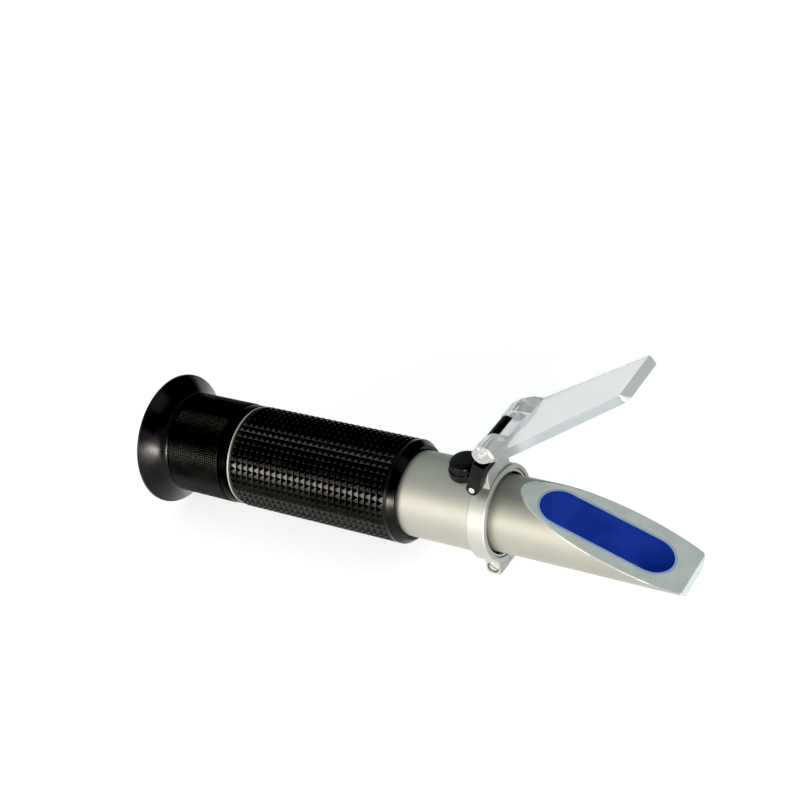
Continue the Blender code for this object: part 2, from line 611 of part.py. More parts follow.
def build_cover(acrylic):
    """Clear plate: thin flat blade with a sloped front end, and two raised ears round the pin."""
    place = Matrix.Translation(COVER_AXIS) @ Matrix.Rotation(-COVER_ANGLE, 4, "Y")
    ear_r = 2.4 * MM
    ear_end = 3.0 * MM
    top = -0.46 * MM
    bottom = top - 2.35 * MM
    front = 47.7 * MM
    front_low = 48.9 * MM
    deck_end = 8.0 * MM
    side = (arc((0, 0), ear_r, 90, 260, 10) + [(2.2 * MM, bottom), (front_low, bottom), (front, top)]
            + [(deck_end, top), (ear_end, ear_r)])
    shoulder_x = 5.8 * MM
    shoulder = 12.4 * MM
    nose = 8.9 * MM
    corner = 2.4 * MM
    taper = math.degrees(math.atan2(shoulder - nose, front_low - shoulder_x))
    half = ([(-3 * MM, EAR_HALF), (2.6 * MM, EAR_HALF), (shoulder_x, shoulder)]
            + arc((front_low - corner, nose - corner), corner, 90 - taper, 0, 5))
    outline = half + [(x, -y) for x, y in reversed(half)]
    plate = extruded("cover_plate", side, 30 * MM, acrylic, "XZ")
    plan = extruded("cover_plan", outline[::-1], 12 * MM, None, "XY")
    notch_half = KNUCKLE_HALF + GAP
    notch_end = 4.2 * MM
    notch = block("cover_notch", (-6 * MM, -notch_half, -6 * MM), (notch_end, notch_half, 6 * MM))
    step = 1.2 * MM
    floor = top + 0.02 * MM
    dip_outline = [(0, step), (4.9 * MM, step), (6.0 * MM, floor), (deck_end, floor), (deck_end, 6 * MM),
                   (0, 6 * MM)]
    dip = extruded("cover_dip", dip_outline, 2 * notch_half, None, "XZ")
    hole = rod("ear_hole", (0, 0, 0), "Y", PIN_R + GAP / 2, 60 * MM)
    for piece in (plate, plan, notch, dip, hole):
        piece.matrix_world = place @ piece.matrix_world
    combine(plate, plan, "INTERSECT")
    cut(plate, notch, dip, hole)


def main():
    clear_scene()
    rubber = material("black_rubber", (0.015, 0.015, 0.016), 0.55)
    soft = material("eyecup_rubber", (0.012, 0.012, 0.013), 0.35)
    anodised = material("black_anodised", (0.018, 0.018, 0.019), 0.4, 0.6)
    satin = material("satin_aluminium", (0.72, 0.72, 0.68), 0.32, 1.0)
    bed = material("head_aluminium", (0.68, 0.69, 0.65), 0.36, 1.0)
    steel = material("steel", (0.75, 0.74, 0.72), 0.25, 1.0)
    plastic = material("black_plastic", (0.02, 0.02, 0.02), 0.35)
    acrylic = material("clear_acrylic", (0.9, 0.93, 0.93), 0.08, 0.0, 0.35)
    blue = material("blue_prism", (0.02, 0.05, 0.45), 0.05)
    glass = material("lens_glass", (0.9, 0.93, 0.95), 0.02, 0.0, 0.35)
    pale = material("pale_seal", (0.45, 0.55, 0.75), 0.4)
    build_eyecup(soft)
    build_focus_ring(anodised)
    build_socket(anodised)
    build_collar(anodised)
    build_o_ring(rubber)
    build_spacer(satin)
    build_lens_cell(anodised)
    build_guide_pin(steel)
    build_eyepiece_optics(glass, anodised)
    build_grip(rubber)
    build_barrel(satin)
    build_reticle(glass, anodised)
    build_baffle(anodised)
    build_objective(glass, anodised, steel)
    build_calibration(soft, satin, steel)
    build_head(bed, blue, pale)
    build_clamp(satin, steel)
    build_link(plastic)
    build_pins(steel)
    build_cover(acrylic)


main()
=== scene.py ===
"""Looks of the handheld refractometer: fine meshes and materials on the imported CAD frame."""
import json
import math

import bmesh
import bpy
from mathutils import Matrix, Vector


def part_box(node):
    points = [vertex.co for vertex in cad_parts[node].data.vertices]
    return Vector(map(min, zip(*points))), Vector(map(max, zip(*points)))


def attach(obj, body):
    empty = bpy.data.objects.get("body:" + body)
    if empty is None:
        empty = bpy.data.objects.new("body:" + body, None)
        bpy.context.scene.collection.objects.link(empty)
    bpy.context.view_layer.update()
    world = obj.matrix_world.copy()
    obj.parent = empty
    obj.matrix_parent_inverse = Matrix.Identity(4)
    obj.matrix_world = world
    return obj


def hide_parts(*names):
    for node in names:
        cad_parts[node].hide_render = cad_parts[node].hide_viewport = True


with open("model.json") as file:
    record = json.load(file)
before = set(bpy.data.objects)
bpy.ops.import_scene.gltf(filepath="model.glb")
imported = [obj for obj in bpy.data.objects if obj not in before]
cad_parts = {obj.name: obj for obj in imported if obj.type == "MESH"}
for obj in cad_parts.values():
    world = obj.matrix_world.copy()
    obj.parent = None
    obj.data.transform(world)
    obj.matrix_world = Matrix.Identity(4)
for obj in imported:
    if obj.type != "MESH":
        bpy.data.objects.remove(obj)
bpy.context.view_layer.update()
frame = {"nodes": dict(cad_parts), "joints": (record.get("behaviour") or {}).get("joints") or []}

scene = bpy.context.scene
MM = 0.001
GAP = 0.3 * MM          # clearance the CAD keeps between touching pieces


# ---- places read from the frame ------------------------------------------------------------
def span(node):
    """Rear x, front x and outer radius of a round piece on the tube's axis."""
    low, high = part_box(node)
    return low.x, high.x, (high.y - low.y) / 2


def joint(name):
    """Position of a joint's axis."""
    for item in frame["joints"]:
        if item["name"] == name:
            return Vector(item["pos_m"])
    raise KeyError(name)


RIM_X, CUP_END_X, CUP_R = span("eyecup")
SPIGOT_X, FOCUS_END_X, FOCUS_R = span("focus_ring")
SPACER_X, SPACER_END_X, SPACER_R = span("spacer_ring")
GRIP_X, SHOULDER_X, GRIP_R = span("grip_sleeve")
BARREL_X, BARREL_END_X, BARREL_R = span("barrel_tube")
HEAD_X, TIP_X, HEAD_R = span("prism_head")
CLAMP_LOW, CLAMP_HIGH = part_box("clamp_ring")
AXIS_Z = (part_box("barrel_tube")[0].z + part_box("barrel_tube")[1].z) / 2
FOCUS_X = CUP_END_X + GAP
LINK_AXIS = joint("link_hinge")
COVER_AXIS = joint("cover_hinge")
CAP_X = joint("calibration_turn").x

# ---- sizes the boxes don't give, as in the CAD ---------------------------------------------
SOCKET_R = 12.6 * MM
LENS_R = 9.0 * MM
WALL = 1.15 * MM
CLAMP_R = 13.4 * MM
CLAMP_X = SHOULDER_X + 22.2 * MM
CLAMP_END_X = CLAMP_X + 5.2 * MM
FACE_ANGLE = math.radians(20.0)
FACE_X = SHOULDER_X + 33.2 * MM
PRISM_START = 6.0 * MM
PRISM_LENGTH = 37.7 * MM
PRISM_HALF = 5.9 * MM
PRISM_SIDE = -0.45 * MM
SEAL_WIDTH = 0.6 * MM
TIP_HALF = 8.6 * MM
TIP_CORNER = 1.4 * MM
TIP_CHAMFER = 1.3 * MM
COVER_ANGLE = math.radians(33.05)
BUSH_HOLE_R = 3.15 * MM
PIN_R = 0.9 * MM
LUG_HALF = 5.8 * MM
KNUCKLE_HALF = 4.9 * MM
EAR_HALF = 10.6 * MM
HINGE_HALF = 10.0 * MM
FOOT_HALF = 5.2 * MM
SCREW_AXIS = Vector((SHOULDER_X + 22.9 * MM, 0.0, AXIS_Z - 16.1 * MM))

# ---- fineness and lengths of tools ---------------------------------------------------------
FINE = 192              # sides of the outer round pieces
MEDIUM = 96
COARSE = 64
THROUGH = 60 * MM       # length of a tool that cuts right through a piece


# ---- materials -------------------------------------------------------------------------
def new_material(name, colour, roughness, metallic=0.0, **sockets):
    """Principled material; values that are even over the surface sit on its own sockets."""
    mat = bpy.data.materials.new(name)
    mat.use_nodes = True
    shader = mat.node_tree.nodes["Principled BSDF"]
    shader.inputs["Base Color"].default_value = (*colour, 1.0)
    shader.inputs["Roughness"].default_value = roughness
    shader.inputs["Metallic"].default_value = metallic
    for socket, value in sockets.items():
        shader.inputs[socket.replace("_", " ")].default_value = value
    return mat


def add_noise(mat, scale, detail=3.0, stretch=(1, 1, 1)):
    """Noise over the piece's own coordinates, stretched along chosen directions."""
    tree = mat.node_tree
    coords = tree.nodes.new("ShaderNodeTexCoord")
    mapping = tree.nodes.new("ShaderNodeMapping")
    mapping.inputs["Scale"].default_value = stretch
    noise = tree.nodes.new("ShaderNodeTexNoise")
    noise.inputs["Scale"].default_value = scale
    noise.inputs["Detail"].default_value = detail
    tree.links.new(coords.outputs["Object"], mapping.inputs["Vector"])
    tree.links.new(mapping.outputs["Vector"], noise.inputs["Vector"])
    return noise.outputs["Fac"]


def vary(mat, source, socket, low, high):
    """Drive a value of the shader between two limits with a noise."""
    tree = mat.node_tree
    span_node = tree.nodes.new("ShaderNodeMapRange")
    span_node.inputs["From Min"].default_value = 0.3
    span_node.inputs["From Max"].default_value = 0.7
    span_node.inputs["To Min"].default_value = low
    span_node.inputs["To Max"].default_value = high
    tree.links.new(source, span_node.inputs["Value"])
    tree.links.new(span_node.outputs["Result"], tree.nodes["Principled BSDF"].inputs[socket])


def tint(mat, source, dark, light, low=0.35, high=0.65):
    """Colour that drifts between two tones."""
    tree = mat.node_tree
    ramp = tree.nodes.new("ShaderNodeValToRGB")
    ramp.color_ramp.elements[0].position = low
    ramp.color_ramp.elements[1].position = high
    ramp.color_ramp.elements[0].color = (*dark, 1)
    ramp.color_ramp.elements[1].color = (*light, 1)
    tree.links.new(source, ramp.inputs["Fac"])
    tree.links.new(ramp.outputs["Color"], tree.nodes["Principled BSDF"].inputs["Base Color"])


def bump(mat, source, depth):
    """Fine relief: depth is in metres."""
    tree = mat.node_tree
    node = tree.nodes.new("ShaderNodeBump")
    node.inputs["Strength"].default_value = 1.0
    node.inputs["Distance"].default_value = depth
    tree.links.new(source, node.inputs["Height"])
    shader = tree.nodes["Principled BSDF"]
    if shader.inputs["Normal"].is_linked:
        tree.links.new(shader.inputs["Normal"].links[0].from_socket, node.inputs["Normal"])
    tree.links.new(node.outputs["Normal"], shader.inputs["Normal"])


def turned_metal(name, colour, roughness, lines=5e-7):
    """Satin metal with the fine rings that turning leaves, and a faint drift in tone."""
    mat = new_material(name, colour, roughness, 1.0)
    rings = add_noise(mat, 1.0, 4.0, (9000, 90, 90))
    grain = add_noise(mat, 5200.0, 2.0)
    drift = add_noise(mat, 60.0, 2.0)
    vary(mat, rings, "Roughness", roughness - 0.05, roughness + 0.07)
    tint(mat, drift, [c * 0.95 for c in colour], [min(1.0, c * 1.04) for c in colour])
    bump(mat, rings, lines)
    bump(mat, grain, lines * 1.5)
    return mat


def blasted_metal(name, colour, roughness):
    """Matte metal face with an even fine grain."""
    mat = new_material(name, colour, roughness, 0.55)
    grain = add_noise(mat, 6500.0, 3.0)
    cloud = add_noise(mat, 170.0, 4.0)
    vary(mat, grain, "Roughness", roughness - 0.06, roughness + 0.08)
    tint(mat, cloud, [c * 0.94 for c in colour], [min(1.0, c * 1.05) for c in colour])
    bump(mat, grain, 1.2e-6)
    return mat


def moulded(name, dark, light, roughness, grain_depth, gloss):
    """Moulded rubber or plastic: fine grain, uneven sheen and slightly uneven black."""
    mat = new_material(name, light, roughness, 0.0, Specular_IOR_Level=gloss)
    grain = add_noise(mat, 5000.0, 3.0)
    patch = add_noise(mat, 190.0, 4.0)
    vary(mat, patch, "Roughness", roughness - 0.06, roughness + 0.08)
    tint(mat, patch, dark, light)
    bump(mat, grain, grain_depth)
    return mat


def glass(name, colour, roughness, ior, clear=1.0):
    """Clear material; clear below 1 leaves some of the light in a milky body."""
    mat = new_material(name, colour, roughness, 0.0, Transmission_Weight=clear, IOR=ior)
    haze = add_noise(mat, 90.0, 2.0)
    vary(mat, haze, "Roughness", roughness * 0.85, roughness * 1.15)
    return mat


def prism_blue(name):
    """Polished deep blue prism whose depth of colour drifts a little."""
    mat = new_material(name, (0.016, 0.045, 0.34), 0.16, 0.0, Specular_IOR_Level=0.22)
    cloud = add_noise(mat, 70.0, 2.5)
    tint(mat, cloud, (0.010, 0.026, 0.21), (0.018, 0.050, 0.38), 0.32, 0.6)
    vary(mat, add_noise(mat, 900.0, 3.0), "Roughness", 0.12, 0.2)
    return mat


SATIN = turned_metal("satin_aluminium", (0.48, 0.48, 0.435), 0.54)
CLAMP_METAL = turned_metal("clamp_aluminium", (0.54, 0.55, 0.51), 0.5, 3e-7)
HEAD_METAL = turned_metal("head_aluminium", (0.46, 0.46, 0.41), 0.54)
BED_METAL = blasted_metal("prism_bed", (0.70, 0.78, 0.75), 0.55)
# Painted shade: a darker grey copy of the clamp's metal for the faces that look along +x.
CLAMP_FRONT_PAINTED_SHADE = blasted_metal("clamp_front_painted_shade", (0.36, 0.40, 0.39), 0.5)
# Painted highlight: a brighter, glossier copy of the head's metal, laid only on the near half of the
# prism face's softened edge.
PAINTED_HIGHLIGHT_EDGE = turned_metal("painted_highlight_edge", (0.90, 0.90, 0.88), 0.32, 2e-7)
STEEL = turned_metal("steel", (0.74, 0.71, 0.66), 0.22, 2e-7)
KNURLED = moulded("knurled_black", (0.003, 0.003, 0.003), (0.006, 0.006, 0.006), 0.3, 1.0e-6, 0.12)
ANODISED = moulded("black_anodised", (0.002, 0.002, 0.002), (0.004, 0.004, 0.004), 0.36, 1.0e-6, 0.04)
GRIP_RUBBER = moulded("grip_rubber", (0.003, 0.003, 0.003), (0.006, 0.006, 0.006), 0.24, 1.5e-6, 0.17)
CUP_RUBBER = moulded("cup_rubber", (0.002, 0.002, 0.003), (0.005, 0.005, 0.006), 0.26, 1.0e-6, 0.22)
LINK_PLASTIC = moulded("link_plastic", (0.004, 0.004, 0.004), (0.009, 0.009, 0.008), 0.34, 1.2e-6, 0.15)
ACRYLIC = glass("clear_acrylic", (0.88, 0.91, 0.92), 0.09, 1.49, 0.75)
# Painted shade: a darker, grey-blue copy of the acrylic for the plate's side faces.
ACRYLIC_SIDE_PAINTED_SHADE = glass("acrylic_side_painted_shade", (0.60, 0.65, 0.68), 0.12, 1.49, 0.85)
# Painted light: a milkier, paler copy of the acrylic for the plate's front end face.
ACRYLIC_END_PAINTED_LIGHT = glass("acrylic_end_painted_light", (0.88, 0.92, 0.93), 0.12, 1.49, 0.5)
LENS_GLASS = glass("lens_glass", (0.97, 0.98, 0.98), 0.02, 1.52)
PRISM_BLUE = prism_blue("prism_blue")
SEAL_PALE = moulded("seal_pale", (0.34, 0.45, 0.70), (0.43, 0.54, 0.79), 0.4, 1.0e-6, 0.3)


# ---- mesh building -------------------------------------------------------------------------
def add_piece(name, mesh, mat, body, replaces=(), sharp=32, weighted=False):
    """Link a mesh as a finished piece: material, body, slot and the CAD nodes it stands for."""
    piece = bpy.data.objects.new(name, mesh)
    scene.collection.objects.link(piece)
    if not mesh.materials:
        mesh.materials.append(mat)
    mesh.shade_smooth()
    mesh.set_sharp_from_angle(angle=math.radians(sharp))
    if weighted:
        change = piece.modifiers.new("even_normals", "WEIGHTED_NORMAL")
        change.keep_sharp = True
        change.weight = 100
        settle(piece)
    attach(piece, body)
    if replaces:
        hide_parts(*replaces)
    return piece


def fillet(corners, steps=5):
    """Round the corners of a closed outline: each corner is (a, b) or (a, b, radius)."""
    outline = []
    count = len(corners)
    for i, corner in enumerate(corners):
        here = Vector(corner[:2])
        radius = corner[2] if len(corner) > 2 else 0.0
        if radius == 0.0:
            outline.append(tuple(here))
            continue
        back = (Vector(corners[i - 1][:2]) - here).normalized()
        ahead = (Vector(corners[(i + 1) % count][:2]) - here).normalized()
        half = back.angle(ahead) / 2
        reach = radius / math.tan(half)
        middle = here + (back + ahead).normalized() * (radius / math.sin(half))
        start = here + back * reach - middle
        end = here + ahead * reach - middle
        turn = start.angle_signed(end)
        for k in range(steps + 1):
            outline.append(tuple(middle + Matrix.Rotation(-turn * k / steps, 2) @ start))
    return outline


def ring_mesh(name, outline, sides, axis="X", offset=(0, 0, 0), radii=None):
    """Close an outline of (along, radius) points round an axis. radii(i, j) may lift a point."""
    verts, faces = [], []
    count = len(outline)
    poles = [i for i, (a, r) in enumerate(outline) if r < 1e-9]
    index = {}
    for i, (along, radius) in enumerate(outline):
        for j in range(sides):
            if i in poles and j > 0:
                index[i, j] = index[i, 0]
                continue
            r = radius if radii is None else radii(i, j, radius)
            angle = 2 * math.pi * j / sides
            c, s = r * math.cos(angle), r * math.sin(angle)
            point = (along, c, s) if axis == "X" else (c, s, along)
            index[i, j] = len(verts)
            verts.append(Vector(point) + Vector(offset))
    for i in range(count):
        k = (i + 1) % count
        if i in poles and k in poles:
            continue
        for j in range(sides):
            n = (j + 1) % sides
            loop = [index[i, j], index[k, j], index[k, n], index[i, n]]
            loop = [v for p, v in enumerate(loop) if v != loop[p - 1]]
            if len(loop) == 4 and radii is not None:
                lifts = [math.hypot(verts[v].y, verts[v].z - offset[2]) for v in loop]
                top = lifts.index(max(lifts))
                if top % 2 == 0:
                    faces += [(loop[0], loop[1], loop[2]), (loop[0], loop[2], loop[3])]
                else:
                    faces += [(loop[0], loop[1], loop[3]), (loop[1], loop[2], loop[3])]
            else:
                faces.append(loop)
    mesh = bpy.data.meshes.new(name)
    mesh.from_pydata(verts, [], faces)
    bm = bmesh.new()
    bm.from_mesh(mesh)
    bmesh.ops.recalc_face_normals(bm, faces=bm.faces)
    bm.to_mesh(mesh)
    bm.free()
    return mesh


def turned(name, corners, mat, body, replaces, sides=FINE):
    """A turned piece on the tube's axis from a filleted outline."""
    mesh = ring_mesh(name, fillet(corners), sides, "X", (0, 0, AXIS_Z))
    return add_piece(name, mesh, mat, body, replaces)


def arc(centre, radius, start, end, steps):
    """Points on an arc, from one angle to another in degrees."""
    angles = [math.radians(start + (end - start) * i / steps) for i in range(steps + 1)]
    return [(centre[0] + radius * math.cos(a), centre[1] + radius * math.sin(a)) for a in angles]


def slab(name, outline, depth, plane="XZ", place=None):
    """Loose helper object: a closed outline thickened evenly about its plane."""
    point = {"XZ": lambda a, b, d: (a, d, b), "XY": lambda a, b, d: (a, b, d),
             "YZ": lambda a, b, d: (d, a, b)}[plane]
    bm = bmesh.new()
    face = bm.faces.new([bm.verts.new(point(a, b, -depth / 2)) for a, b in outline])
    moved = bmesh.ops.extrude_face_region(bm, geom=[face])["geom"]
    top = [v for v in moved if isinstance(v, bmesh.types.BMVert)]
    bmesh.ops.translate(bm, vec=Vector(point(0, 0, depth)), verts=top)
    bmesh.ops.recalc_face_normals(bm, faces=bm.faces)
    return helper(name, bm, place)


def loose(name, mesh):
    """Helper object that holds a mesh."""
    item = bpy.data.objects.new(name, mesh)
    scene.collection.objects.link(item)
    return item


def helper(name, bm, place=None):
    """Helper object from a bmesh, moved to its place."""
    mesh = bpy.data.meshes.new(name)
    bm.to_mesh(mesh)
    bm.free()
    if place is not None:
        mesh.transform(place)
    return loose(name, mesh)


def box_body(name, low, high, place=None):
    """Loose helper object: a box between two corners, moved to its place."""
    corners = [(low[0], low[1]), (high[0], low[1]), (high[0], high[1]), (low[0], high[1])]
    middle = Matrix.Translation((0, 0, (low[2] + high[2]) / 2))
    return slab(name, corners, high[2] - low[2], "XY", (place or Matrix()) @ middle)


def round_bar(name, centre, axis, radius, length, sides=COARSE):
    """Loose helper object: a round bar along a named axis."""
    turn = {"X": Matrix.Rotation(math.pi / 2, 4, "Y"), "Y": Matrix.Rotation(math.pi / 2, 4, "X"),
            "Z": Matrix()}[axis]
    bm = bmesh.new()
    bmesh.ops.create_cone(bm, cap_ends=True, segments=sides, radius1=radius, radius2=radius,
                          depth=length, matrix=Matrix.Translation(centre) @ turn)
    return helper(name, bm)


def carve(base, *steps):
    """Apply (operation, body) steps to a helper and remove the tool bodies."""
    for operation, tool in steps:
        change = base.modifiers.new(operation, "BOOLEAN")
        change.operation = operation
        change.solver = "EXACT"
        change.object = tool
    settle(base)
    for operation, tool in steps:
        bpy.data.objects.remove(tool)
    return base


def settle(item):
    """Turn an object's modifiers into its mesh."""
    bpy.context.view_layer.update()
    done = bpy.data.meshes.new_from_object(item.evaluated_get(bpy.context.evaluated_depsgraph_get()))
    item.modifiers.clear()
    item.data = done


def weld(item):
    """Join the coinciding corners that carving leaves, and close the slits between them."""
    bm = bmesh.new()
    bm.from_mesh(item.data)
    bmesh.ops.remove_doubles(bm, verts=bm.verts, dist=1e-6)
    bmesh.ops.dissolve_degenerate(bm, dist=1e-6, edges=bm.edges)
    open_edges = [edge for edge in bm.edges if edge.is_boundary]
    if open_edges:
        bmesh.ops.holes_fill(bm, edges=open_edges, sides=6)
    bm.to_mesh(item.data)
    bm.free()


def soften(item, width, segments=3, angle=35, clamp=True):
    """Round every sharp edge of a helper; clamp holds the width to what short edges allow."""
    weld(item)
    change = item.modifiers.new("edge", "BEVEL")
    change.width = width
    change.segments = segments
    change.limit_method = "ANGLE"
    change.angle_limit = math.radians(angle)
    change.use_clamp_overlap = clamp
    change.miter_outer = "MITER_ARC"
    settle(item)
    return item


def finish_helper(item, name, mat, body, replaces=(), sharp=32):
    """Turn a helper into a finished piece."""
    mesh = item.data
    bpy.data.objects.remove(item)
    mesh.name = name
    mesh.materials.clear()
    return add_piece(name, mesh, mat, body, replaces, sharp, True)


# ---- eyepiece ------------------------------------------------------------------------------
def make_eyecup():
    """Flared rubber cup: trumpet outside, soft rim, dished inside."""
    neck = FOCUS_X + GAP / 3
    steps = 14
    flare = []
    start_x, start_r = RIM_X + 1.2 * MM, CUP_R
    end_x, end_r = CUP_END_X - 0.5 * MM, FOCUS_R + 0.1 * MM
    for i in range(1, steps + 1):
        t = i / steps
        x = start_x + (end_x - start_x) * t
        flare.append((x, end_r + (start_r - end_r) * (1 - t) ** 1.45))
    bowl = []
    in_x, in_r = RIM_X + 0.6 * MM, CUP_R - 1.55 * MM
    out_x, out_r = neck - 4.4 * MM, SOCKET_R - 1.6 * MM
    for i in range(steps + 1):
        t = i / steps
        x = out_x + (in_x - out_x) * t
        bowl.append((x, out_r + (in_r - out_r) * t ** 1.5))
    corners = ([(RIM_X, CUP_R - 0.55 * MM, 0.25 * MM), (RIM_X + 0.45 * MM, CUP_R, 0.25 * MM),
                (RIM_X + 1.2 * MM, CUP_R)] + flare
               + [(CUP_END_X, FOCUS_R - 0.35 * MM, 0.15 * MM), (CUP_END_X, SOCKET_R + GAP),
                  (neck - 3.2 * MM, SOCKET_R + GAP), (neck - 3.2 * MM, SOCKET_R - 1.6 * MM)]
               + bowl + [(RIM_X, CUP_R - 1.35 * MM, 0.2 * MM)])
    turned("eyecup_skin", corners, CUP_RUBBER, "focus", ["eyecup"])


def stud_rows(x0, x1, columns, flat):
    """Along-axis stations of a stud pattern: each column gives a groove and the two top edges."""
    pitch = (x1 - x0) / columns
    rows = []
    for k in range(columns):
        start = x0 + k * pitch
        rows += [(start, 0), (start + pitch * (1 - flat) / 2, 1), (start + pitch * (1 + flat) / 2, 1)]
    return rows + [(x1, 0)]


def studded(name, before, after, rows, radius, depth, around, mat, body, replaces):
    """A sleeve whose outside carries rows of small truncated pyramids between two plain ends."""
    outline = before + [(x, radius - depth) for x, top in rows] + after
    first = len(before)
    tops = {first + i for i, (x, top) in enumerate(rows) if top}

    def lift(i, j, r):
        return radius if i in tops and j % 3 else r

    mesh = ring_mesh(name, outline, around * 3, "X", (0, 0, AXIS_Z), lift)
    add_piece(name, mesh, mat, body, replaces, 18)


def make_focus_ring():
    """Focusing ring with a fine square knurl between two plain edges."""
    lip = FOCUS_X + 3.0 * MM
    bore = LENS_R + 1.2 * MM
    depth = 0.2 * MM
    base = FOCUS_R - depth
    before = [(SPIGOT_X, bore), (SPIGOT_X, SOCKET_R - 0.15 * MM), (SPIGOT_X + 0.15 * MM, SOCKET_R),
              (FOCUS_X, SOCKET_R), (FOCUS_X, base - 0.15 * MM), (FOCUS_X + 0.15 * MM, base)]
    after = [(FOCUS_END_X - 0.15 * MM, base), (FOCUS_END_X, base - 0.15 * MM),
             (FOCUS_END_X, SOCKET_R + GAP), (lip, SOCKET_R + GAP), (lip, bore)]
    rows = stud_rows(FOCUS_X + 0.35 * MM, FOCUS_END_X - 0.35 * MM, 25, 0.4)
    studded("focus_ring_knurled", before, after, rows, FOCUS_R, depth, 136, KNURLED,
            "focus", ["focus_ring"])


def make_grip():
    """Rubber grip: square pyramids, a plain band in front and a rounded shoulder."""
    depth = 0.55 * MM
    base = GRIP_R - depth
    bore = BARREL_R + GAP
    before = [(GRIP_X, bore), (GRIP_X, base - 0.2 * MM), (GRIP_X + 0.2 * MM, base)]
    columns = 26
    pitch = 1.98 * MM
    studs_end = GRIP_X + 0.35 * MM + columns * pitch
    rows = stud_rows(GRIP_X + 0.35 * MM, studs_end, columns, 0.26)
    nose = fillet([(studs_end + 0.15 * MM, base), (studs_end + 0.35 * MM, GRIP_R - 0.05 * MM, 0.15 * MM),
                   (SHOULDER_X - 1.9 * MM, GRIP_R - 0.02 * MM, 0.35 * MM),
                   (SHOULDER_X - 0.2 * MM, GRIP_R - 1.3 * MM, 0.25 * MM),
                   (SHOULDER_X, GRIP_R - 1.5 * MM), (SHOULDER_X, bore)], 6)
    studded("grip_pyramids", before, nose, rows, GRIP_R, depth, 48, GRIP_RUBBER,
            "root", ["grip_sleeve"])


def make_collar():
    """Smooth black ring between the focus ring and the grip."""
    low, high, radius = span("stop_collar")
    corners = [(low, SOCKET_R + GAP), (low, radius, 0.25 * MM), (high - 0.45 * MM, radius, 0.2 * MM),
               (high, radius - 0.55 * MM, 0.1 * MM), (high, SOCKET_R + GAP)]
    turned("collar_ring", corners, ANODISED, "root", ["stop_collar"])


def make_spacer():
    """Bare metal washer behind the grip."""
    low = BARREL_R - WALL
    corners = [(SPACER_X, low), (SPACER_X, SPACER_R, 0.1 * MM), (SPACER_END_X, SPACER_R, 0.1 * MM),
               (SPACER_END_X, low)]
    turned("bare_ring", corners, SATIN, "root", ["spacer_ring"])


def lens_outline(low_x, high_x, radius, bulge, steps=12):
    """Half outline of a biconvex lens, pole to pole."""
    sphere = (radius ** 2 + bulge ** 2) / (2 * bulge)
    points = []
    for side, pole in ((1, low_x), (-1, high_x)):
        face = [(pole + side * (sphere - math.sqrt(sphere ** 2 - (radius * i / steps) ** 2)),
                 radius * i / steps) for i in range(steps + 1)]
        points += face if side > 0 else face[::-1]
    return points


def make_lens(node, body, bulge):
    """Biconvex lens in the box of its CAD node."""
    low, high, radius = span(node)
    mesh = ring_mesh(node + "_fine", lens_outline(low, high, radius, bulge), MEDIUM, "X", (0, 0, AXIS_Z))
    add_piece(node + "_fine", mesh, LENS_GLASS, body, [node])


def make_retainer():
    """Ring with softened edges that holds the eyepiece's lenses."""
    low, high, radius = span("lens_retainer")
    corners = [(low, radius, 0.1 * MM), (high, radius), (high, radius - 1.3 * MM),
               (low + 0.2 * MM, radius - 1.3 * MM, 0.1 * MM), (low, radius - 1.0 * MM, 0.1 * MM)]
    turned("retainer_ring", corners, ANODISED, "lens_cell", ["lens_retainer"], MEDIUM)


# ---- tube ----------------------------------------------------------------------------------
def make_barrel():
    """Main tube, narrowed at its front end round the head, with a hole for the bush."""
    bore = BARREL_R - WALL
    mouth = HEAD_R + 0.75 * MM
    step = BARREL_END_X - 3.4 * MM
    corners = [(BARREL_X, BARREL_R), (BARREL_END_X, BARREL_R, 0.15 * MM),
               (BARREL_END_X, mouth, 0.1 * MM), (step, mouth), (step, bore), (BARREL_X, bore)]
    mesh = ring_mesh("barrel_raw", fillet(corners), FINE, "X", (0, 0, AXIS_Z))
    item = loose("barrel_raw", mesh)
    hole = round_bar("bush_hole", (CAP_X, 0, AXIS_Z + BARREL_R), "Z", BUSH_HOLE_R, 8 * MM)
    carve(item, ("DIFFERENCE", hole))
    finish_helper(item, "barrel_skin", SATIN, "root", ["barrel_tube"])


def make_cap():
    """Rubber cap: rounded top, a ledge round its side and a foot that fits the tube."""
    low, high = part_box("calibration_cap")
    radius = (high.y - low.y) / 2
    top = high.z
    bush_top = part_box("calibration_bush")[1].z
    inside = 3.3 * MM
    foot = AXIS_Z + 9.0 * MM
    ledge = top - 2.7 * MM
    corners = [(foot, radius), (ledge, radius, 0.25 * MM),
               (ledge + 0.3 * MM, radius - 0.4 * MM, 0.2 * MM),
               (top - 0.25 * MM, radius - 0.55 * MM, 1.0 * MM),
               (top, radius - 2.6 * MM, 1.5 * MM), (top, 0.0),
               (bush_top + GAP, 0.0), (bush_top + GAP, inside), (foot, inside)]
    mesh = ring_mesh("cap_raw", fillet(corners, 6), MEDIUM, "Z", (CAP_X, 0, 0))
    item = loose("cap_raw", mesh)
    saddle = round_bar("saddle", (CAP_X, 0, AXIS_Z), "X", BARREL_R + 0.12 * MM, 24 * MM, FINE)
    carve(item, ("DIFFERENCE", saddle))
    soften(item, 0.2 * MM, 3, 45)
    finish_helper(item, "cap_rubber", CUP_RUBBER, "cap", ["calibration_cap"])


# ---- prism head ----------------------------------------------------------------------------
def face_frame():
    """X runs down the prism face, Z is its normal, the origin is on its upper edge."""
    return Matrix.Translation((FACE_X, 0, AXIS_Z + HEAD_R)) @ Matrix.Rotation(FACE_ANGLE, 4, "Y")


def stadium(grow):
    """Outline of the prism's top in the face's plane, grown by a margin all round."""
    steps = 32
    half = PRISM_HALF + grow
    left = PRISM_START + PRISM_HALF
    right = PRISM_START + PRISM_LENGTH - PRISM_HALF
    return (arc((right, PRISM_SIDE), half, -90, 90, steps)
            + arc((left, PRISM_SIDE), half, 90, 270, steps))


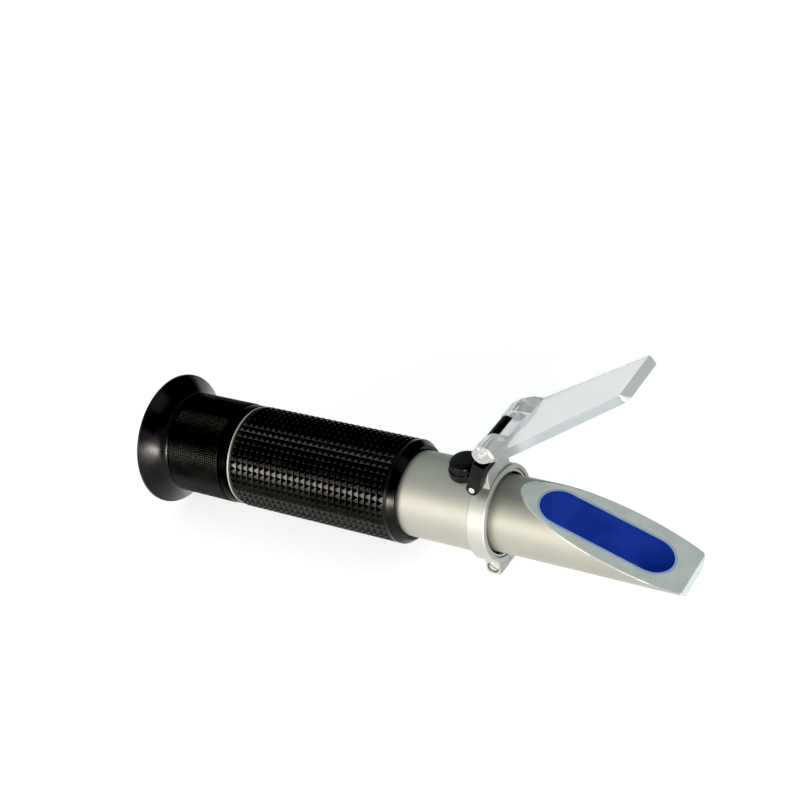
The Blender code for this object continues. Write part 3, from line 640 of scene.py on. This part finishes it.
def make_head():
    """Head tube, cut obliquely, with a softened edge round the face and a milled prism bed."""
    over = 5 * MM
    length = TIP_X + over - HEAD_X
    body = round_bar("head_raw", (HEAD_X + length / 2, 0, AXIS_Z), "X", HEAD_R, length, FINE)
    bore = round_bar("head_bore", (HEAD_X + 6 * MM, 0, AXIS_Z), "X", 7.4 * MM, 24 * MM, MEDIUM)
    place = face_frame()
    waste = box_body("head_waste", (-20 * MM, -20 * MM, 0), (80 * MM, 20 * MM, 40 * MM), place)
    corner_x, corner_y, far = TIP_X - TIP_CORNER, TIP_HALF - TIP_CORNER, 30 * MM
    nose = slab("head_nose", arc((corner_x, corner_y), TIP_CORNER, 0, 90, 16)
                + [(corner_x, far), (TIP_X + far, far), (TIP_X + far, -far), (corner_x, -far)]
                + arc((corner_x, -corner_y), TIP_CORNER, -90, 0, 16), 80 * MM, "XY")
    low = AXIS_Z - HEAD_R
    under = [(TIP_X - TIP_CHAMFER - far, low - far), (TIP_X + far, low - far),
             (TIP_X + far, low + TIP_CHAMFER + far)]
    bevel = slab("head_bevel", under, 80 * MM, "XZ")
    pocket = slab("head_pocket", stadium(SEAL_WIDTH + 0.05 * MM), 2.4 * MM, "XY", place)
    carve(body, ("DIFFERENCE", bore), ("DIFFERENCE", waste))
    soften(body, 0.35 * MM, 4, 30, False)
    carve(body, ("DIFFERENCE", nose), ("DIFFERENCE", bevel))
    soften(body, 0.1 * MM, 2, 30)
    carve(body, ("DIFFERENCE", pocket))
    weld(body)
    piece = finish_helper(body, "head_skin", HEAD_METAL, "root", ["prism_head"], 40)
    piece.data.materials.append(BED_METAL)       # slot 1
    piece.data.materials.append(PAINTED_HIGHLIGHT_EDGE)     # slot 2: painted highlight on the near half of the face's softened edge
    normal = Vector((math.sin(FACE_ANGLE), 0, math.cos(FACE_ANGLE)))
    unplace = place.inverted()
    for polygon in piece.data.polygons:
        facing = polygon.normal.dot(normal)
        depth = (unplace @ polygon.center).z
        if facing > 0.9995 or polygon.center.x > TIP_X - 0.2 * MM:
            polygon.material_index = 1
        # Painted highlight: only the softened face edge on the y < 0 half gets the brighter metal; the
        # far half stays plain.
        elif facing > 0.35 and depth > -0.6 * MM and polygon.center.y < 0:
            polygon.material_index = 2


def make_prism():
    """Prism with a fine ground bevel, and the thin seal line round it."""
    place = face_frame()
    prism_place = place @ Matrix.Translation((0, 0, -1.1 * MM))
    prism = slab("prism_raw", stadium(0.0), 2.2 * MM, "XY", prism_place)
    soften(prism, 0.12 * MM, 3, 40)
    finish_helper(prism, "prism_top", PRISM_BLUE, "root", ["main_prism"])
    seal_place = place @ Matrix.Translation((0, 0, -0.56 * MM))
    seal = slab("seal_raw", stadium(SEAL_WIDTH), 1.0 * MM, "XY", seal_place)
    hole = slab("seal_hole", stadium(0.03 * MM), 4 * MM, "XY", place)
    carve(seal, ("DIFFERENCE", hole))
    finish_helper(seal, "seal_line", SEAL_PALE, "root", ["prism_seal"])


# ---- clamp and cover -----------------------------------------------------------------------
def make_clamp():
    """Split clamp ring with a rounded hinge lug above and a screw lug below."""
    inner = BARREL_R + 0.1 * MM
    rough = inner - 0.5 * MM
    corners = [(CLAMP_X, CLAMP_R, 0.25 * MM), (CLAMP_END_X, CLAMP_R, 0.5 * MM), (CLAMP_END_X, rough),
               (CLAMP_X, rough)]
    ring = loose("ring_raw", ring_mesh("ring_raw", fillet(corners), FINE, "X", (0, 0, AXIS_Z)))
    top = CLAMP_HIGH.z
    corner = 2.6 * MM
    foot = AXIS_Z + inner - 1.0 * MM
    outline = ([(LUG_HALF, foot)] + arc((LUG_HALF - corner, top - corner), corner, 0, 90, 12)
               + arc((corner - LUG_HALF, top - corner), corner, 90, 180, 12) + [(-LUG_HALF, foot)])
    length = 4.7 * MM
    middle = Matrix.Translation((LINK_AXIS.x + 2.7 * MM - length / 2, 0, 0))
    lug = soften(slab("lug", outline, length, "YZ", middle), 0.3 * MM)
    rear = SCREW_AXIS.x - 2.2 * MM
    front = SCREW_AXIS.x + 2.2 * MM
    low = CLAMP_LOW.z
    high = AXIS_Z - inner + 1 * MM
    foot_corners = [(rear, high), (rear, low, 1.3 * MM), (front, low, 0.6 * MM), (front, high)]
    foot_lug = soften(slab("foot_lug", fillet(foot_corners, 8), 2 * FOOT_HALF, "XZ"), 0.25 * MM)
    bore = round_bar("bore", (CLAMP_X, 0, AXIS_Z), "X", inner, 40 * MM, FINE)
    split = box_body("split", (CLAMP_X - 5 * MM, 0.2 * MM, AXIS_Z - 30 * MM),
                     (CLAMP_END_X + 5 * MM, 0.9 * MM, AXIS_Z - 8 * MM))
    hole = round_bar("screw_hole", SCREW_AXIS, "Y", 1.1 * MM, THROUGH / 2)
    sink = round_bar("screw_sink", SCREW_AXIS + Vector((0, -FOOT_HALF, 0)), "Y", 1.75 * MM, 3.0 * MM)
    pin_hole = round_bar("pin_hole", LINK_AXIS, "Y", PIN_R + 0.06 * MM, THROUGH / 2)
    carve(ring, ("UNION", lug), ("UNION", foot_lug), ("DIFFERENCE", bore), ("DIFFERENCE", split),
          ("DIFFERENCE", hole), ("DIFFERENCE", sink), ("DIFFERENCE", pin_hole))
    weld(ring)
    piece = finish_helper(ring, "clamp_body", CLAMP_METAL, "root", ["clamp_ring"],
                          28)
    piece.data.materials.append(CLAMP_FRONT_PAINTED_SHADE)      # slot 1: painted shade, darker metal on the forward-facing faces
    for polygon in piece.data.polygons:
        # Painted shade: faces that look along +x get the darker metal.
        if polygon.normal.x > 0.9:
            polygon.material_index = 1


def make_screw():
    """Slotted pan-head screw sunk in the clamp's foot."""
    head_y = -FOOT_HALF + 0.3 * MM
    head_end = head_y + 1.0 * MM
    end = FOOT_HALF - 0.3 * MM
    head_r = 1.5 * MM
    shank_r = 0.95 * MM
    corners = fillet([(head_y, 0.0), (head_y, head_r, 0.3 * MM), (head_end, head_r),
                      (head_end, shank_r), (end, shank_r, 0.2 * MM), (end, 0.0)], 6)
    mesh = ring_mesh("screw_raw", corners, COARSE, "Z")
    across = Matrix.Rotation(-math.pi / 2, 4, "X")
    mesh.transform(Matrix.Translation((SCREW_AXIS.x, 0, SCREW_AXIS.z)) @ across)
    screw = loose("screw_raw", mesh)
    turn = Matrix.Rotation(math.radians(35), 4, "Y")
    place = Matrix.Translation(SCREW_AXIS + Vector((0, head_y, 0))) @ turn
    half_slot = 0.24 * MM
    slot = box_body("screw_slot", (-2.2 * MM, -1.0 * MM, -half_slot), (2.2 * MM, 0.5 * MM, half_slot),
                    place)
    carve(screw, ("DIFFERENCE", slot))
    soften(screw, 0.05 * MM, 2, 40)
    finish_helper(screw, "clamp_screw_slotted", STEEL, "root", ["clamp_screw"])


def make_pin(name, centre, half, body, node):
    """Steel pin with domed ends."""
    end = 0.25 * MM
    outline = fillet([(-half, 0.0), (-half, PIN_R, end), (half, PIN_R, end), (half, 0.0)], 6)
    mesh = ring_mesh(name, outline, 48, "Z")
    mesh.transform(Matrix.Translation(centre) @ Matrix.Rotation(math.pi / 2, 4, "X"))
    add_piece(name, mesh, STEEL, body, [node])


def make_link():
    """Forked link with softened moulded edges."""
    reach = (COVER_AXIS - LINK_AXIS).length
    lean = math.atan2(COVER_AXIS.x - LINK_AXIS.x, COVER_AXIS.z - LINK_AXIS.z)
    half = 1.75 * MM
    knuckle_r = 2.1 * MM
    neck = reach - 1.2 * MM
    outline = (arc((0, 0), half, 180, 360, 24) + [(half, neck)]
               + arc((0, reach), knuckle_r, -15, 195, 36) + [(-half, neck)])
    place = Matrix.Translation(LINK_AXIS) @ Matrix.Rotation(lean, 4, "Y")
    link = slab("link_raw", outline, 2 * HINGE_HALF, "XZ", place)
    far = 20 * MM
    arm_end = 9.2 * MM
    fork = LUG_HALF + 0.4 * MM
    fork_top = 4.7 * MM
    tools = [box_body("fork", (-far, -fork, -far), (far, fork, fork_top), place),
             box_body("ear_room_a", (-far, KNUCKLE_HALF, arm_end), (far, far, reach + far), place),
             box_body("ear_room_b", (-far, -far, arm_end), (far, -KNUCKLE_HALF, reach + far), place)]
    carve(link, *[("DIFFERENCE", tool) for tool in tools])
    soften(link, 0.35 * MM, 4, 40)
    hole_r = PIN_R + 0.04 * MM
    carve(link, ("DIFFERENCE", round_bar("hole_a", LINK_AXIS, "Y", hole_r, THROUGH)),
          ("DIFFERENCE", round_bar("hole_b", COVER_AXIS, "Y", hole_r, THROUGH)))
    finish_helper(link, "link_body", LINK_PLASTIC, "link", ["cover_link"])


def make_cover():
    """Clear plate: flat tapered blade with a sloped front end, and two raised, rounded ears."""
    place = Matrix.Translation(COVER_AXIS) @ Matrix.Rotation(-COVER_ANGLE, 4, "Y")
    top = -0.46 * MM
    bottom = top - 2.35 * MM
    front = 47.7 * MM
    front_low = 48.9 * MM
    ear_r = 2.4 * MM
    deck_end = 8.0 * MM
    side = (arc((0, 0), ear_r, 90, 260, 40) + [(2.2 * MM, bottom), (front_low, bottom), (front, top)]
            + [(deck_end, top), (3.0 * MM, ear_r)])
    shoulder_x, shoulder, nose = 5.8 * MM, 12.4 * MM, 8.9 * MM
    corner = 2.4 * MM
    taper = math.degrees(math.atan2(shoulder - nose, front_low - shoulder_x))
    half = ([(-3 * MM, EAR_HALF), (2.6 * MM, EAR_HALF), (shoulder_x, shoulder)]
            + arc((front_low - corner, nose - corner), corner, 90 - taper, 0, 16))
    outline = half + [(x, -y) for x, y in reversed(half)]
    plate = slab("plate_raw", side, 30 * MM, "XZ", place)
    plan = slab("plan", outline, 12 * MM, "XY", place)
    notch_half = KNUCKLE_HALF + GAP
    far = 6 * MM
    notch = box_body("notch", (-far, -notch_half, -far), (4.2 * MM, notch_half, far), place)
    step = 1.2 * MM
    floor = top + 0.02 * MM
    dip = slab("dip", [(0, step), (4.9 * MM, step), (6.0 * MM, floor), (deck_end, floor),
                       (deck_end, far), (0, far)], 2 * notch_half, "XZ", place)
    carve(plate, ("INTERSECT", plan), ("DIFFERENCE", notch), ("DIFFERENCE", dip))
    soften(plate, 0.22 * MM, 3, 24)
    hole = round_bar("ear_hole", COVER_AXIS, "Y", PIN_R + 0.04 * MM, THROUGH)
    carve(plate, ("DIFFERENCE", hole))
    piece = finish_helper(plate, "cover_clear", ACRYLIC, "cover", ["cover_plate"])
    piece.data.materials.append(ACRYLIC_SIDE_PAINTED_SHADE)    # slot 1: painted shade, darker grey-blue acrylic on the plate's sides
    piece.data.materials.append(ACRYLIC_END_PAINTED_LIGHT)     # slot 2: painted light, milkier and paler acrylic on the front end face
    normal = Vector((-math.sin(COVER_ANGLE), 0, math.cos(COVER_ANGLE)))
    ahead = Vector((math.cos(COVER_ANGLE), 0, math.sin(COVER_ANGLE)))
    unplace = place.inverted()
    for polygon in piece.data.polygons:
        along = (unplace @ polygon.center).x
        # Painted shade: side faces past the ears get the darker acrylic copy.
        if along > 6.5 * MM and abs(polygon.normal.dot(normal)) < 0.6:
            # Painted light: the front end face gets the milkier acrylic copy.
            polygon.material_index = 2 if polygon.normal.dot(ahead) > 0.5 else 1


def finish_cad_nodes():
    """Materials for the inner CAD nodes that stay as they are."""
    finishes = {"focus_guide_pin": STEEL, "objective_spring": STEEL, "calibration_screw": STEEL,
                "calibration_bush": SATIN, "focus_o_ring": CUP_RUBBER, "reticle": LENS_GLASS}
    for node in ("eyepiece_socket", "lens_cell", "lens_spacer", "reticle_holder", "light_baffle",
                 "objective_cell"):
        finishes[node] = ANODISED
    for node, mat in finishes.items():
        item = frame["nodes"][node]
        if not item.material_slots:
            item.data.materials.append(mat)
        for slot in item.material_slots:
            slot.material = mat


# ---- stage ---------------------------------------------------------------------------------
def soft_box(name, place, width, height, radiance, colour):
    """Rectangular light that faces the object; radiance is what a mirror would show of it."""
    data = bpy.data.lights.new(name, "AREA")
    data.shape = "RECTANGLE"
    data.size = width
    data.size_y = height
    data.energy = radiance * math.pi * width * height
    data.color = colour
    lamp = bpy.data.objects.new(name, data)
    lamp.location = place
    lamp.rotation_euler = (Vector((0, 0, AXIS_Z)) - Vector(place)).to_track_quat("-Z", "Y").to_euler()
    scene.collection.objects.link(lamp)


def make_surround():
    """Soft grey surround: brightest above the eyepiece's side, darkest past the prism's end."""
    world = bpy.data.worlds.new("surround")
    scene.world = world
    world.use_nodes = True
    tree = world.node_tree
    coords = tree.nodes.new("ShaderNodeTexCoord")
    lean = tree.nodes.new("ShaderNodeVectorMath")
    lean.operation = "DOT_PRODUCT"
    lean.inputs[1].default_value = (-0.6, 0.0, 0.8)
    ramp = tree.nodes.new("ShaderNodeValToRGB")
    ramp.color_ramp.elements[0].position = 0.3
    ramp.color_ramp.elements[1].position = 0.8
    ramp.color_ramp.elements[0].color = (0.12, 0.13, 0.17, 1)
    ramp.color_ramp.elements[1].color = (0.56, 0.62, 0.59, 1)
    tree.links.new(coords.outputs["Generated"], lean.inputs[0])
    tree.links.new(lean.outputs["Value"], ramp.inputs["Fac"])
    tree.links.new(ramp.outputs["Color"], tree.nodes["Background"].inputs["Color"])


def make_stage():
    """Pale floor, two low warm boxes in front of the object and a large weak one above its end."""
    display = scene.view_settings
    display.view_transform = "Standard"
    display.use_curve_mapping = True
    display.curve_mapping.black_level = (0.012, 0.012, 0.012)
    display.curve_mapping.update()
    bm = bmesh.new()
    bmesh.ops.create_grid(bm, x_segments=1, y_segments=1, size=4.0)
    floor = helper("floor", bm)
    paper = new_material("floor_paper", (0.5, 0.5, 0.5), 0.9, 0.0, Specular_IOR_Level=0.0,
                         Emission_Color=(1.0, 1.0, 1.0, 1.0), Emission_Strength=0.76)
    tint(paper, add_noise(paper, 2.0, 2.0), (0.495, 0.495, 0.495), (0.505, 0.505, 0.505))
    floor.data.materials.append(paper)
    make_surround()
    soft_box("low_box", (-0.43, -0.80, 0.20), 0.60, 0.38, 4.6, (1.0, 0.92, 0.80))
    soft_box("key_box", (0.44, -0.78, 0.07), 0.36, 0.26, 42.0, (1.0, 0.93, 0.84))
    soft_box("high_box", (1.7, 0.5, 1.5), 1.4, 1.4, 1.0, (1.0, 1.0, 1.0))


def make_camera():
    """The photograph's view, from above and in front of the prism's side, slightly rolled."""
    azimuth = math.radians(37.62)
    elevation = math.radians(33.45)
    roll = math.radians(-11.89)
    place = Vector((0.22238, -0.28506, 0.28814))
    data = bpy.data.cameras.new("camera")
    data.lens = 73.66
    data.sensor_width = 36.0
    data.clip_start = 0.01
    camera = bpy.data.objects.new("camera", data)
    view = (Matrix.Rotation(azimuth, 4, "Z") @ Matrix.Rotation(math.pi / 2 - elevation, 4, "X")
            @ Matrix.Rotation(roll, 4, "Z"))
    camera.matrix_world = Matrix.Translation(place) @ view
    scene.collection.objects.link(camera)
    scene.camera = camera


make_camera()
make_stage()
make_eyecup()
make_focus_ring()
make_collar()
make_spacer()
make_lens("eye_lens", "lens_cell", 1.0 * MM)
make_lens("field_lens", "lens_cell", 0.7 * MM)
make_lens("objective_lens", "objective", 0.8 * MM)
make_retainer()
make_grip()
make_barrel()
make_cap()
make_head()
make_prism()
make_clamp()
make_screw()
make_pin("link_pin_steel", LINK_AXIS, HINGE_HALF + 0.15 * MM, "root", "link_pin")
make_pin("cover_pin_steel", COVER_AXIS, EAR_HALF + 0.15 * MM, "link", "cover_pin")
make_link()
make_cover()
finish_cad_nodes()
